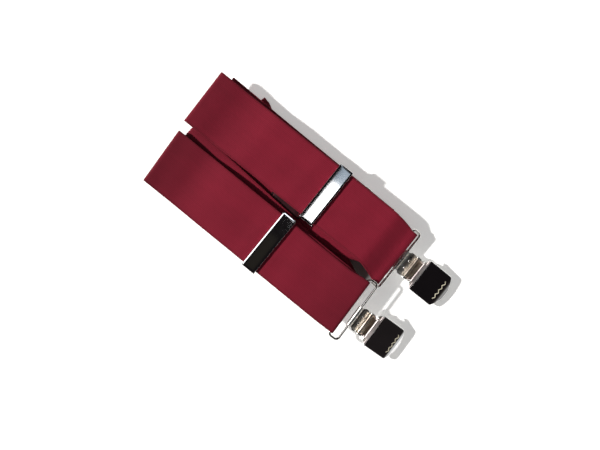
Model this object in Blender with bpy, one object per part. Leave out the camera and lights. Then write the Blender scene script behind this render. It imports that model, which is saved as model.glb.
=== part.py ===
"""X-back clip-on braces, folded flat for storage.

Two 50 mm elastic straps lie side by side, each folded into six layers. They cross once between two
patches. Each front end runs through a wire ring and comes back as a tail to a sliding adjuster. Every
strap end carries a ring and a lever clip. The rear clips lie level under the fold, lever side down.
Lengths below are millimetres; the finished meshes are scaled to metres.
+X points from the left folds to the front clips, +Y across the straps, +Z up from the table.
"""

import math

import bmesh
import bpy
from mathutils import Matrix, Vector

for old in list(bpy.data.objects):
    bpy.data.objects.remove(old, do_unlink=True)

# ------------------------------------------------------------------ driving dimensions (mm)
MM = 0.001
CENTRE_X, CENTRE_Y = 6.36, -1.72  # plan centre of the folded bundle, moved to the origin
STRAP_W, STRAP_T = 50.0, 1.2
HALF_W = STRAP_W / 2
TOP_Z = 22.2  # middle of the top layer where it lies level
WIRE_R = 1.05
RING_PITCH, RING_HALF_V, RING_CORNER = 9.1, 28.2, 3.0
LOOP_RZ = WIRE_R + 0.25 + STRAP_T / 2  # strap centre line round a ring bar
CLIP_H = 6.6  # lever's top above the ring bar
REAR_BAR_Z = CLIP_H
PIN_R, HOLE_R = 0.7, 1.0
LEVER_PIN_U, LEVER_PIN_W = 16.0, 5.0
JAW_PIN_U, JAW_PIN_W = 10.5, 2.0
TAIL_BAR_U, TAIL_BAR_W = 3.9, -2.95
RIVET_R = 0.35
PLATE_PIVOT_U, PLATE_PIVOT_W = 5.4, 1.3

# straps in plan: fold centres in order from the front ring to the rear ring, with the bulge of each fold
STRAPS = {
    "right": {
        "ring": (80.4, 21.6),
        "ring_rx": 4.9,
        "ring_yaw": 0.0,
        "bar_z": 14.3,
        "folds": [(-119.9, 26.0), (61.4, 26.3), (-111.7, 29.2), (60.6, 26.9), (-89.0, -31.7)],
        "fold_skew": 1.1,
        "rear": (13.1, -31.0),
        "adjuster": (6.3, 26.0),
        "heading": 0.0,
        "over": True,
    },
    "left": {
        "ring": (77.6, -33.1),
        "ring_rx": 2.1,
        "ring_yaw": 2.0,
        "bar_z": 20.3,
        "folds": [(-116.4, -32.5), (60.6, -33.4), (-113.6, -21.6), (60.6, -32.9), (-89.0, 33.6)],
        "fold_skew": 3.0,
        "rear": (26.0, 24.3),
        "adjuster": (-5.6, -33.5),
        "heading": -0.52,
        "over": False,
    },
}
FOLD_RX = [1.7, 1.4, 1.5, 1.4, 1.6]
LAYER_STATIONS = 18
ARC_STEPS = 6


# ------------------------------------------------------------------ small helpers
def smooth(t):
    t = min(max(t, 0.0), 1.0)
    return t * t * (3 - 2 * t)


def mix(a, b, t):
    return a + (b - a) * t


def rise(x):
    """0 at the left folds, which spring up, 1 where the layers lie level."""
    return smooth((x + 121.0) / 80.0)


def top_line(side, x):
    """Height of a front strap's middle surface."""
    z = mix(24.6, 20.4, smooth((x + 123.0) / 38.0)) + (TOP_Z - 20.4) * smooth((x + 93.0) / 32.0)
    s = STRAPS[side]
    z -= (TOP_Z - s["bar_z"] - LOOP_RZ) * smooth((x - 60.0) / (s["ring"][0] - 60.0))
    return z


def layer_z(side, layer, x):
    over = STRAPS[side]["over"]
    if layer == 1:
        return top_line(side, x)
    if layer == 2:
        return mix(19.6, 16.25, rise(x)) + 0.5 * smooth((x - 48.0) / 12.0)
    if layer == 3:
        return mix(17.4, 14.75, rise(x)) - 0.35 * smooth((x - 48.0) / 12.0)
    if layer == 4:
        return mix(13.0, 13.25, rise(x))
    if layer == 5 and over:
        return mix(2.05, 10.75, rise(x)) + 0.95 * smooth((x - 2.0) / 7.0) - 0.6 * smooth((x - 51.0) / 9.0)
    if layer == 5:
        return mix(0.5, 9.25, rise(x)) + 0.95 * smooth((x - 2.0) / 7.0)
    back = STRAPS[side]["rear"][0] - x  # layer 6, measured back from the rear ring
    return mix(REAR_BAR_Z - LOOP_RZ, 0.62, smooth(back / 70.0))


def layer(side, number):
    return lambda x: layer_z(side, number, x)


def level(z):
    return lambda x: z


def front_edges(side, x):
    """The +Y and -Y edge points of the top layer where its middle is at x."""
    s = STRAPS[side]
    x0, y0 = s["folds"][0]
    near = 1 - smooth((x - x0) / 30.0)
    far = smooth((x - 58.0) / (s["ring"][0] - 58.0))
    if side == "right":
        y = 26.0 - 4.4 * (max(x - 53.0, 0.0) / 27.4) ** 2
        turn = math.radians(s["fold_skew"] * near)
        half = HALF_W + 1.1 * far
    else:
        y = y0 + math.tan(math.radians(s["heading"])) * (x - x0) + 1.16 * far
        turn = math.radians(s["heading"] * (1 - near) + s["fold_skew"] * near + 2.5 * far)
        half = HALF_W + 0.8 * far
    across = Vector((-math.sin(turn), math.cos(turn))) * half
    return Vector((x, y)) + across, Vector((x, y)) - across


class Ribbon:
    """A flat strap as a list of stations, each with its two edge points."""

    def __init__(self):
        self.a, self.b = [], []

    def add(self, a, b, height):
        """One station; height gives the middle surface's z at an x."""
        self.a.append(Vector((a[0], a[1], height(a[0]))))
        self.b.append(Vector((b[0], b[1], height(b[0]))))

    def turn(self, a, b, out, rx, low, high, steps=ARC_STEPS):
        """Half a turn round the line from a to b, bulging by rx along out, from one layer to the next."""
        for i in range(steps + 1):
            th = math.pi * i / steps
            shift = out * (rx * math.sin(th))
            t = (1 - math.cos(th)) / 2
            for p, edge in ((a, self.a), (b, self.b)):
                q = p + shift
                edge.append(Vector((q.x, q.y, mix(low(p.x), high(p.x), t))))

    def mesh(self, thick):
        n = len(self.a)
        mids = [(p + q) / 2 for p, q in zip(self.a, self.b)]
        verts, faces = [], []
        for i in range(n):
            along = (mids[min(i + 1, n - 1)] - mids[max(i - 1, 0)]).normalized()
            across = (self.a[i] - self.b[i]).normalized()
            up = along.cross(across).normalized() * (thick / 2)
            verts += [self.a[i] + up, self.b[i] + up, self.b[i] - up, self.a[i] - up]
        for i in range(n - 1):
            p, q = 4 * i, 4 * i + 4
            for k in range(4):
                m = (k + 1) % 4
                faces.append((p + k, p + m, q + m, q + k))
        faces += [(3, 2, 1, 0), (4 * n - 4, 4 * n - 3, 4 * n - 2, 4 * n - 1)]
        return verts, faces


def fold_line(previous, centre, following):
    """Outward direction of a fold and half its length, from the headings into and out of it."""
    h_in = (Vector(centre) - Vector(previous)).normalized()
    h_out = (Vector(following) - Vector(centre)).normalized()
    out = (h_in - h_out).normalized()
    line = Vector((-out.y, out.x))
    if line.y < 0:
        line = -line
    half = HALF_W / abs(h_in.dot(out))
    return out, line * half


def strap_ribbon(side, stations=LAYER_STATIONS, steps=ARC_STEPS):
    s = STRAPS[side]
    path = [s["ring"], *s["folds"], s["rear"]]
    rib = Ribbon()
    bar = Vector(s["ring"])
    yaw = math.radians(s["ring_yaw"])
    out = Vector((math.cos(yaw), math.sin(yaw)))
    a, b = front_edges(side, bar.x)
    low, high = level(s["bar_z"] - LOOP_RZ), level(s["bar_z"] + LOOP_RZ)
    for d in (4.0, 2.0):
        rib.add(*front_edges(side, bar.x - d), low)
    rib.turn(a, b, out, s["ring_rx"], low, high, steps + 2)
    # top layer, from the ring back to the first fold
    x_end = s["folds"][0][0]
    for i in range(1, 2 * stations):
        x = mix(bar.x, x_end, i / (2 * stations))
        rib.add(*front_edges(side, x), layer(side, 1))
    for k in range(1, 6):
        out, half = fold_line(path[k - 1], path[k], path[k + 1])
        if k == 1:
            skew = math.radians(s["fold_skew"])
            out = Vector((-math.cos(skew), -math.sin(skew)))
            half = Vector((-math.sin(skew), math.cos(skew))) * HALF_W
        centre = Vector(path[k])
        a0, b0 = centre + half, centre - half
        rib.turn(a0, b0, out, FOLD_RX[k - 1], layer(side, k), layer(side, k + 1), steps)
        if k < 5:
            nout, nhalf = fold_line(path[k], path[k + 1], path[k + 2])
            ncentre = Vector(path[k + 1])
        else:
            ncentre, nhalf = Vector(path[6]), Vector((0.0, HALF_W))
        a1, b1 = ncentre + nhalf, ncentre - nhalf
        for i in range(1, stations):
            t = i / stations
            a, b = a0.lerp(a1, t), b0.lerp(b1, t)
            x = (a.x + b.x) / 2
            if k == 5 and side == "left":
                slip = -5.2 * smooth((x + 87.0) / 14.0) * (1 - smooth((x + 60.0) / 70.0))
                a, b = a + Vector((0, slip)), b + Vector((0, slip))
            rib.add(a, b, layer(side, k + 1))
    # round the rear ring's bar and back on itself, where it is stitched
    a, b = a1, b1
    out = Vector((1.0, 0.0))
    z_low, z_high = REAR_BAR_Z - LOOP_RZ, REAR_BAR_Z + LOOP_RZ
    rib.turn(a, b, out, LOOP_RZ, level(z_low), level(z_high), steps + 2)
    for d in (2.0, 4.0, 6.0, 8.0, 10.0, 15.0, 22.0):
        x = a1.x - d
        z = layer_z(side, 6, x) + 1.5 + (2 * LOOP_RZ - 1.5) * (1 - smooth((d - 1.0) / 9.0))
        rib.add(a - out * d, b - out * d, level(z))
    return rib


def tail_ribbon(side, steps=ARC_STEPS):
    s = STRAPS[side]
    bar_x = s["ring"][0]
    end = s["adjuster"][0] + TAIL_BAR_U
    rib = Ribbon()
    yaw = math.radians(s["heading"])
    start = bar_x - 4.5
    n = 14

    def tail_z(x):
        return layer_z(side, 1, x) - 1.5 - (2 * LOOP_RZ - 1.5) * (1 - smooth((bar_x - 3.5 - x) / 13.0))

    for i in range(n):
        t = (i / n) ** 1.35
        x = mix(start, end, t)
        slip = Vector((0, 1.6 if side == "left" else 0.0)) * (smooth((bar_x - 6.0 - x) / 16.0) * smooth((x - end - 9.0) / 14.0))
        a, b = front_edges(side, x)
        rib.add(a + slip, b + slip, level(tail_z(x)))
    a, b = front_edges(side, end)
    out = Vector((-math.cos(yaw), -math.sin(yaw)))
    z0, z1 = TOP_Z - 1.5, TOP_Z - 4.4
    rib.turn(a, b, out, 1.5, level(z0), level(z1), steps + 2)
    for d in (2.0, 4.0, 6.0, 8.0, 12.0, 16.0):
        rib.add(a - out * d, b - out * d, level(z1 + 1.35 * smooth((d - 1.0) / 8.0)))
    return rib


# ------------------------------------------------------------------ objects
MATERIALS = {}


def material(name, colour, metallic, roughness):
    mat = bpy.data.materials.new(name)
    mat.use_nodes = True
    bsdf = mat.node_tree.nodes["Principled BSDF"]
    bsdf.inputs["Base Color"].default_value = (*colour, 1.0)
    bsdf.inputs["Metallic"].default_value = metallic
    bsdf.inputs["Roughness"].default_value = roughness
    mat.diffuse_color = (*colour, 1.0)
    return mat


KINDS = {
    "strap": ((0.19, 0.012, 0.025), 0.0, 0.85),
    "patch": ((0.045, 0.012, 0.012), 0.0, 0.55),
    "chrome": ((0.75, 0.75, 0.77), 1.0, 0.08),
    "steel": ((0.55, 0.54, 0.52), 1.0, 0.3),
    "pad": ((0.62, 0.55, 0.42), 0.0, 0.5),
}


def raw(name, verts, faces):
    me = bpy.data.meshes.new(name)
    me.from_pydata([tuple(v) for v in verts], [], faces)
    bm = bmesh.new()
    bm.from_mesh(me)
    bmesh.ops.recalc_face_normals(bm, faces=bm.faces)
    bm.to_mesh(me)
    bm.free()
    ob = bpy.data.objects.new(name, me)
    bpy.context.scene.collection.objects.link(ob)
    return ob


def prism(outline, lo, hi, plane):
    """A closed outline in one plane, given depth along the third axis. plane: uw, uv or vw."""
    n = len(outline)

    def put(p, d):
        if plane == "uw":
            return (p[0], d, p[1])
        if plane == "uv":
            return (p[0], p[1], d)
        return (d, p[0], p[1])

    verts = [put(p, lo) for p in outline] + [put(p, hi) for p in outline]
    faces = [tuple(range(n)), tuple(range(2 * n - 1, n - 1, -1))]
    faces += [(i, (i + 1) % n, n + (i + 1) % n, n + i) for i in range(n)]
    return raw("shape", verts, faces)


def slab(stations):
    """A plate lofted along u: each station is (u, half width, underside, top)."""
    verts, faces = [], []
    for u, h, w0, w1 in stations:
        verts += [(u, -h, w0), (u, h, w0), (u, h, w1), (u, -h, w1)]
    n = len(stations)
    for i in range(n - 1):
        p, q = 4 * i, 4 * i + 4
        for k in range(4):
            m = (k + 1) % 4
            faces.append((p + k, p + m, q + m, q + k))
    faces += [(3, 2, 1, 0), (4 * n - 4, 4 * n - 3, 4 * n - 2, 4 * n - 1)]
    return raw("shape", verts, faces)


def disc(cu, cw, r, n=14, start=0.0):
    return [(cu + r * math.cos(start + 2 * math.pi * i / n), cw + r * math.sin(start + 2 * math.pi * i / n)) for i in range(n)]


def rod(cu, cw, r, v0, v1, n=14):
    return prism(disc(cu, cw, r, n), v0, v1, "uw")


def tube(cu, cw, r_in, r_out, v0, v1, n=16):
    inner, outer = disc(cu, cw, r_in, n), disc(cu, cw, r_out, n)
    verts = [(p[0], v, p[1]) for v in (v0, v1) for ring in (inner, outer) for p in ring]
    faces = []
    for i in range(n):
        j = (i + 1) % n
        faces += [(i, j, n + j, n + i), (2 * n + i, 3 * n + i, 3 * n + j, 2 * n + j)]
        faces += [(i, 2 * n + i, 2 * n + j, j), (n + i, n + j, 3 * n + j, 3 * n + i)]
    return raw("shape", verts, faces)


def joined(base, others, how="UNION"):
    """base combined with others by exact booleans; the others are used up."""
    for other in others:
        mod = base.modifiers.new("cut", "BOOLEAN")
        mod.operation = how
        mod.object = other
        mod.solver = "EXACT"
    bpy.context.view_layer.update()
    graph = bpy.context.evaluated_depsgraph_get()
    made = bpy.data.meshes.new_from_object(base.evaluated_get(graph), depsgraph=graph)
    base.modifiers.clear()
    old, base.data = base.data, made
    bpy.data.meshes.remove(old)
    for other in others:
        bpy.data.objects.remove(other, do_unlink=True)
    bm = bmesh.new()
    bm.from_mesh(base.data)
    bmesh.ops.remove_doubles(bm, verts=bm.verts, dist=0.002)
    bmesh.ops.dissolve_limit(bm, angle_limit=0.002, verts=bm.verts, edges=bm.edges)
    bm.to_mesh(base.data)
    bm.free()
    return base


def finish(ob, name, kind, frame=None):
    """Places a finished shape: local millimetres to world metres, with its own material."""
    me = ob.data
    if frame is not None:
        me.transform(frame)
    me.transform(Matrix.Translation((-CENTRE_X, -CENTRE_Y, 0)))
    me.transform(Matrix.Scale(MM, 4))
    if kind not in ("strap", "patch"):
        me.shade_smooth()
        me.set_sharp_from_angle(angle=math.radians(35))
    ob.name = name
    me.name = name
    me.materials.clear()
    colour, metallic, roughness = KINDS[kind]
    me.materials.append(material(name, colour, metallic, roughness))
    me.update()
    return ob


def axes_frame(origin, u, v, w):
    m = Matrix.Identity(4)
    for i, axis in enumerate((u, v, w)):
        for r in range(3):
            m[r][i] = axis[r]
    for r in range(3):
        m[r][3] = origin[r]
    return m


def tilted(origin, yaw, tilt):
    """Frame whose u axis points along yaw and down by tilt (degrees)."""
    y, t = math.radians(yaw), math.radians(tilt)
    u = Vector((math.cos(t) * math.cos(y), math.cos(t) * math.sin(y), -math.sin(t)))
    v = Vector((-math.sin(y), math.cos(y), 0.0))
    return axes_frame(origin, u, v, u.cross(v))


def flipped(origin, yaw):
    y = math.radians(yaw)
    u = Vector((math.cos(y), math.sin(y), 0.0))
    w = Vector((0.0, 0.0, -1.0))
    return axes_frame(origin, u, w.cross(u), w)


# ------------------------------------------------------------------ wire ring
def ring_shape():
    """A wire bent to a rounded rectangle: strap bar at u = 0, clip bar at u = RING_PITCH."""
    path = []
    r = RING_CORNER
    for cu, cv, a0 in (
        (RING_PITCH - r, RING_HALF_V - r, 0.0),
        (r, RING_HALF_V - r, 0.5 * math.pi),
        (r, -RING_HALF_V + r, math.pi),
        (RING_PITCH - r, -RING_HALF_V + r, 1.5 * math.pi),
    ):
        for i in range(5):
            a = a0 + 0.5 * math.pi * i / 4
            path.append((Vector((cu + r * math.cos(a), cv + r * math.sin(a), 0)), Vector((math.cos(a), math.sin(a), 0))))
    sides, verts, faces = 8, [], []
    for p, normal in path:
        for k in range(sides):
            b = 2 * math.pi * (k + 0.5) / sides
            verts.append(p + normal * (WIRE_R * math.cos(b)) + Vector((0, 0, WIRE_R * math.sin(b))))
    n = len(path)
    for i in range(n):
        for k in range(sides):
            p, q = i * sides, ((i + 1) % n) * sides
            m = (k + 1) % sides
            faces.append((p + k, p + m, q + m, q + k))
    return raw("ring", verts, faces)


# ------------------------------------------------------------------ lever clip, in its own frame
def clip_base():
    plate = slab(
        [
            (1.3, 9.0, -1.75, -0.75),
            (2.6, 9.0, -1.55, -0.62),
            (4.5, 10.5, -1.0, -0.1),
            (18.0, 10.5, -1.0, -0.1),
            (20.0, 13.2, -1.0, -0.1),
            (41.0, 13.2, -1.0, -0.1),
            (44.0, 10.2, -1.0, -0.1),
        ]
    )
    knuckle = tube(0, 0, WIRE_R + 0.3, WIRE_R + 1.2, -9.0, 9.0)
    ear = [(8.0, -0.6), (17.4, -0.6), (17.5, 5.0)]
    ear += [(LEVER_PIN_U + 1.5 * math.cos(a), LEVER_PIN_W + 1.5 * math.sin(a)) for a in (0.5, 1.0, 1.57, 2.1, 2.7)]
    ear += [(12.6, 3.7), (10.5, 3.9), (8.6, 3.1)]
    ears = [prism(ear, v, v + 0.9, "uw") for v in (-10.5, 9.6)]
    body = joined(plate, [knuckle, *ears])
    holes = [rod(LEVER_PIN_U, LEVER_PIN_W, HOLE_R, -12, 12), rod(JAW_PIN_U, JAW_PIN_W, HOLE_R, -12, 12)]
    return joined(body, holes, "DIFFERENCE")


def clip_jaw():
    plate = slab(
        [
            (11.7, 9.2, 1.2, 2.0),
            (18.5, 9.2, 1.2, 2.0),
            (20.5, 12.2, 1.25, 2.05),
            (32.0, 12.2, 2.4, 3.2),
            (41.5, 12.2, 2.4, 3.2),
            (45.4, 10.4, 2.4, 3.2),
        ]
    )
    knuckle = tube(JAW_PIN_U, JAW_PIN_W, HOLE_R, 1.8, -9.2, 9.2)
    teeth, count = [(-10.4, 2.9)], 8
    for i in range(count):
        step = 20.8 / count
        teeth += [(-10.4 + step * i + 0.05, 1.6), (-10.4 + step * (i + 0.5), 0.45)]
    teeth += [(10.35, 1.6), (10.4, 2.9)]
    lip = prism(teeth, 44.6, 45.4, "vw")
    return joined(plate, [knuckle, lip])


def clip_lever():
    top, th = CLIP_H, 0.8
    cover = slab(
        [
            (17.7, 11.4, top - th - 0.5, top - 0.35),
            (18.6, 14.0, top - th, top - 0.05),
            (19.4, 14.4, top - th, top),
            (41.0, 14.4, top - th, top),
            (43.2, 12.6, top - th - 0.5, top - 0.45),
            (45.3, 8.6, top - th - 1.2, top - 1.1),
            (47.0, 3.2, top - th - 1.9, top - 1.75),
        ]
    )
    hinge = slab([(15.2, 9.2, top - 1.0, top - 0.2), (16.4, 9.2, top - 0.85, top), (18.9, 9.2, top - th, top - 0.06)])
    skirts = [slab_box(19.6, 40.6, s * 14.4, s * 13.6, 3.7, top - 0.4) for s in (-1, 1)]
    cam = []
    for i in range(11):  # falls from 2.7 under the pin to 2.0 behind it, as the jaw rises
        a = math.radians(-90 - 10 * i)
        r = 2.7 - 0.07 * i
        cam.append((LEVER_PIN_U + r * math.cos(a), LEVER_PIN_W + r * math.sin(a)))
    cam += [(LEVER_PIN_U - 1.55, LEVER_PIN_W + 1.1), (LEVER_PIN_U + 3.6, LEVER_PIN_W + 1.1), (LEVER_PIN_U + 3.6, LEVER_PIN_W - 1.3)]
    flanges = [prism(cam, v, v + 0.9, "uw") for v in (-9.2, 8.3)]
    body = joined(cover, [hinge, *skirts, *flanges])
    wave, n, half, amp, gap = [], 9, 9.2, 0.75, 0.5
    line = [(40.3 + (amp if i % 2 else -amp), -half + 2 * half * i / (n - 1)) for i in range(n)]
    wave = [(u + gap, v) for u, v in line] + [(u - gap, v) for u, v in reversed(line)]
    slot = prism(wave, top - 2.5, top + 1.5, "uv")
    pin = rod(LEVER_PIN_U, LEVER_PIN_W, HOLE_R, -12, 12)
    return joined(body, [slot, pin], "DIFFERENCE")


def slab_box(u0, u1, v0, v1, w0, w1):
    v0, v1 = min(v0, v1), max(v0, v1)
    return prism([(u0, v0), (u1, v0), (u1, v1), (u0, v1)], w0, w1, "uv")


def clip_spring():
    top, under = [], []
    for i in range(9):
        u = mix(21.0, 31.5, i / 8)
        w = 0.22 + 0.75 * math.sin(math.pi * i / 8)
        under.append((u, w))
        top.append((u, w + 0.32))
    return prism(under + top[::-1], -4.0, 4.0, "uw")


def clip_pad(w0, w1):
    return slab([(34.5, 10.8, w0, w1), (35.3, 11.6, w0, w1), (41.0, 11.6, w0, w1), (43.3, 9.6, w0, w1)])


def clip_set(tag, ring_origin, yaw, ring_tilt, clip_tilt, flip, along=0.0):
    ring_frame = flipped(ring_origin, yaw) if flip else tilted(ring_origin, yaw, ring_tilt)
    finish(ring_shape(), f"ring_{tag}", "chrome", ring_frame)
    origin = ring_frame @ Vector((RING_PITCH, along, 0))
    frame = flipped(origin, yaw) if flip else tilted(origin, yaw, clip_tilt)
    finish(clip_base(), f"clip_base_{tag}", "chrome", frame)
    finish(clip_jaw(), f"clip_jaw_{tag}", "chrome", frame)
    finish(clip_lever(), f"clip_lever_{tag}", "chrome", frame)
    finish(rod(LEVER_PIN_U, LEVER_PIN_W, PIN_R, -10.9, 10.9, 10), f"clip_lever_pin_{tag}", "steel", frame)
    finish(rod(JAW_PIN_U, JAW_PIN_W, PIN_R, -10.9, 10.9, 10), f"clip_jaw_pin_{tag}", "steel", frame)
    finish(clip_spring(), f"clip_spring_{tag}", "steel", frame)
    finish(clip_pad(0.2, 1.0), f"clip_pad_lower_{tag}", "pad", frame)
    finish(clip_pad(1.3, 2.1), f"clip_pad_upper_{tag}", "pad", frame)


# ------------------------------------------------------------------ sliding adjuster, in its own frame
def adjuster_set(side):
    s = STRAPS[side]
    yaw = math.radians(s["heading"])
    u = Vector((math.cos(yaw), math.sin(yaw), 0.0))
    v = Vector((-math.sin(yaw), math.cos(yaw), 0.0))
    frame = axes_frame((*s["adjuster"], TOP_Z), u, v, Vector((0, 0, 1)))
    ear = [(-5.8, -2.2), (1.9, -2.2), (2.3, -4.3), (5.5, -4.3), (6.3, -3.5), (6.3, 0.8)]
    ear += [(PLATE_PIVOT_U + 0.95 * math.cos(a), PLATE_PIVOT_W + 0.95 * math.sin(a)) for a in (0.0, 0.5, 1.05, 1.6, 2.1, 2.7, 3.14)]
    ear += [(3.9, 0.7), (-5.8, 0.7)]
    ears = [prism(ear, x, x + 0.8, "uw") for x in (-26.2, 25.4)]
    anvil = prism([(-5.6, -2.1), (0.4, -2.1), (0.4, -0.95), (-5.6, -0.95)], -25.8, 25.8, "uw")
    body = joined(anvil, ears)
    holes = [rod(TAIL_BAR_U, TAIL_BAR_W, HOLE_R, -28, 28), rod(PLATE_PIVOT_U, PLATE_PIVOT_W, RIVET_R + 0.2, -28, 28, 10)]
    finish(joined(body, holes, "DIFFERENCE"), f"adjuster_frame_{side}", "chrome", frame)
    finish(rod(TAIL_BAR_U, TAIL_BAR_W, PIN_R, -26.9, 26.9), f"adjuster_tail_bar_{side}", "steel", frame)
    # the front plate: a shallow pressed tray that lifts about the rivets, with a toothed bar inside it
    tray = [(-6.4, 1.25), (-6.4, 2.7), (-6.0, 3.15), (6.0, 3.15), (6.4, 2.8), (6.4, 2.45), (-5.5, 2.45), (-5.7, 2.3), (-5.7, 1.25)]
    plate = prism(tray, -27.3, 27.3, "uw")
    cheek = [(3.9, 2.7), (4.3, 1.1), (4.75, 0.55), (5.4, 0.35), (6.05, 0.6), (6.4, 1.3), (6.4, 2.7)]
    cheeks = [prism(cheek, x, x + 0.75, "uw") for x in (-27.3, 26.55)]
    teeth, count = [], 12
    for i in range(count):
        step = 48.0 / count
        teeth += [(-24.0 + step * i + 0.02, 1.2), (-24.0 + step * (i + 0.5), 0.85)]
    bite = prism([(-24.0, 2.7), *teeth, (23.98, 1.2), (24.0, 2.7)], -1.6, -0.8, "vw")
    body = joined(plate, [*cheeks, bite])
    pivot_hole = rod(PLATE_PIVOT_U, PLATE_PIVOT_W, RIVET_R + 0.2, -28, 28, 10)
    finish(joined(body, [pivot_hole], "DIFFERENCE"), f"adjuster_plate_{side}", "chrome", frame)
    for tag, x0, x1 in (("outer", 25.1, 27.6), ("inner", -27.6, -25.1)):
        if side == "left":
            tag = {"outer": "inner", "inner": "outer"}[tag]
        finish(rod(PLATE_PIVOT_U, PLATE_PIVOT_W, RIVET_R, x0, x1, 10), f"adjuster_rivet_{tag}_{side}", "steel", frame)


# ------------------------------------------------------------------ crossing patches
def patch(name, z0, z1):
    outline = [(15.5, 12.0), (10.5, 21.0), (-10.5, 21.0), (-15.5, 12.0), (-15.5, -12.0), (-10.5, -21.0), (10.5, -21.0), (15.5, -12.0)]
    verts = [(x - 14.4, y - 1.3) for x, y in outline]
    finish(prism(verts, z0, z1, "uv"), name, "patch")


# ------------------------------------------------------------------ the whole article
for side_name in ("right", "left"):
    points, quads = strap_ribbon(side_name).mesh(STRAP_T)
    finish(raw("strap", points, quads), f"strap_{side_name}", "strap")
    points, quads = tail_ribbon(side_name).mesh(STRAP_T)
    finish(raw("tail", points, quads), f"strap_tail_{side_name}", "strap")
    adjuster_set(side_name)

patch("cross_patch_upper", 11.9, 12.45)
patch("cross_patch_lower", 7.62, 8.35)

right, left = STRAPS["right"], STRAPS["left"]
clip_set("front_right", Vector((*right["ring"], right["bar_z"])), 0.0, 30.0, 10.0, False, 2.0)
clip_set("front_left", Vector((*left["ring"], left["bar_z"])), left["ring_yaw"], 8.0, 22.0, False, -3.7)
clip_set("rear_left", Vector((*right["rear"], REAR_BAR_Z)), 0.0, 0.0, 0.0, True)
clip_set("rear_right", Vector((*left["rear"], REAR_BAR_Z)), 0.0, 0.0, 0.0, True)

bpy.context.view_layer.update()
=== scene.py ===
"""Looks of the folded clip-on braces: webbing, stitching, plated hardware, studio floor and camera."""

import math
import random

import bmesh
import bpy
from mathutils import Matrix, Vector


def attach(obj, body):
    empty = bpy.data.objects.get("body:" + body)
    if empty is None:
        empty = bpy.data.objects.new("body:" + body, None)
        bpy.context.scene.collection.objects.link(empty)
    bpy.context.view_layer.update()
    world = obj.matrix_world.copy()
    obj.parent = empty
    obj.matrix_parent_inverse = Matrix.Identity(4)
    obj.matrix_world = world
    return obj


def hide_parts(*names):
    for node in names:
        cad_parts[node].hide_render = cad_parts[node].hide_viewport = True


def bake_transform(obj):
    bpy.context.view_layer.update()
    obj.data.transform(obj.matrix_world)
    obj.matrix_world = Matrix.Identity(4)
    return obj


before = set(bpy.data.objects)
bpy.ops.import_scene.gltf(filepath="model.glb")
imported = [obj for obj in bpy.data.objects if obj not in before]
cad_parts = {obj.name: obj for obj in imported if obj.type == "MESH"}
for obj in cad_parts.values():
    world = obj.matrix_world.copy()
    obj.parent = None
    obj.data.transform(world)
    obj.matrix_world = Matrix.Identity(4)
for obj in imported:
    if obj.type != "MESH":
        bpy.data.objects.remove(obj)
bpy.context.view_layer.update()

random.seed(7)

# ------------------------------------------------------------------ sizes shared with the frame (mm)
MM = 0.001
CENTRE_X, CENTRE_Y = 6.36, -1.72
STRAP_W, STRAP_T = 50.0, 1.2
HALF_W = STRAP_W / 2
TOP_Z = 22.2
WIRE_R = 1.05
RING_PITCH, RING_HALF_V, RING_CORNER = 9.1, 28.2, 3.0
LOOP_RZ = WIRE_R + 0.25 + STRAP_T / 2
CLIP_H = 6.6
REAR_BAR_Z = CLIP_H
PIN_R, HOLE_R = 0.7, 1.0
LEVER_PIN_U, LEVER_PIN_W = 16.0, 5.0
JAW_PIN_U, JAW_PIN_W = 10.5, 2.0
TAIL_BAR_U, TAIL_BAR_W = 3.9, -2.95
RIVET_R = 0.35
PLATE_PIVOT_U, PLATE_PIVOT_W = 5.4, 1.3

STRAPS = {
    "right": {
        "ring": (80.4, 21.6),
        "ring_rx": 4.9,
        "ring_yaw": 0.0,
        "bar_z": 14.3,
        "folds": [(-119.9, 26.0), (61.4, 26.3), (-111.7, 29.2), (60.6, 26.9), (-89.0, -31.7)],
        "fold_skew": 1.1,
        "rear": (13.1, -31.0),
        "adjuster": (6.3, 26.0),
        "heading": 0.0,
        "over": True,
    },
    "left": {
        "ring": (77.6, -33.1),
        "ring_rx": 2.1,
        "ring_yaw": 2.0,
        "bar_z": 20.3,
        "folds": [(-116.4, -32.5), (60.6, -33.4), (-113.6, -21.6), (60.6, -32.9), (-89.0, 33.6)],
        "fold_skew": 3.0,
        "rear": (26.0, 24.3),
        "adjuster": (-5.6, -33.5),
        "heading": -0.52,
        "over": False,
    },
}
FOLD_RX = [1.7, 1.4, 1.5, 1.4, 1.6]
CLIPS = {
    "front_right": (80.4, 21.6, 14.3, 0.0, 30.0, 10.0, False, 2.0),
    "front_left": (77.6, -33.1, 20.3, 2.0, 8.0, 22.0, False, -3.7),
    "rear_left": (13.1, -31.0, 6.6, 0.0, 0.0, 0.0, True, 0.0),
    "rear_right": (26.0, 24.3, 6.6, 0.0, 0.0, 0.0, True, 0.0),
}


def smooth(t):
    t = min(max(t, 0.0), 1.0)
    return t * t * (3 - 2 * t)


def mix(a, b, t):
    return a + (b - a) * t


def rise(x):
    """0 at the left folds, which spring up, 1 where the layers lie level."""
    return smooth((x + 121.0) / 80.0)


def top_line(side, x):
    """Height of a front strap's middle surface."""
    z = mix(24.6, 20.4, smooth((x + 123.0) / 38.0)) + (TOP_Z - 20.4) * smooth((x + 93.0) / 32.0)
    s = STRAPS[side]
    z -= (TOP_Z - s["bar_z"] - LOOP_RZ) * smooth((x - 60.0) / (s["ring"][0] - 60.0))
    return z


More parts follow.
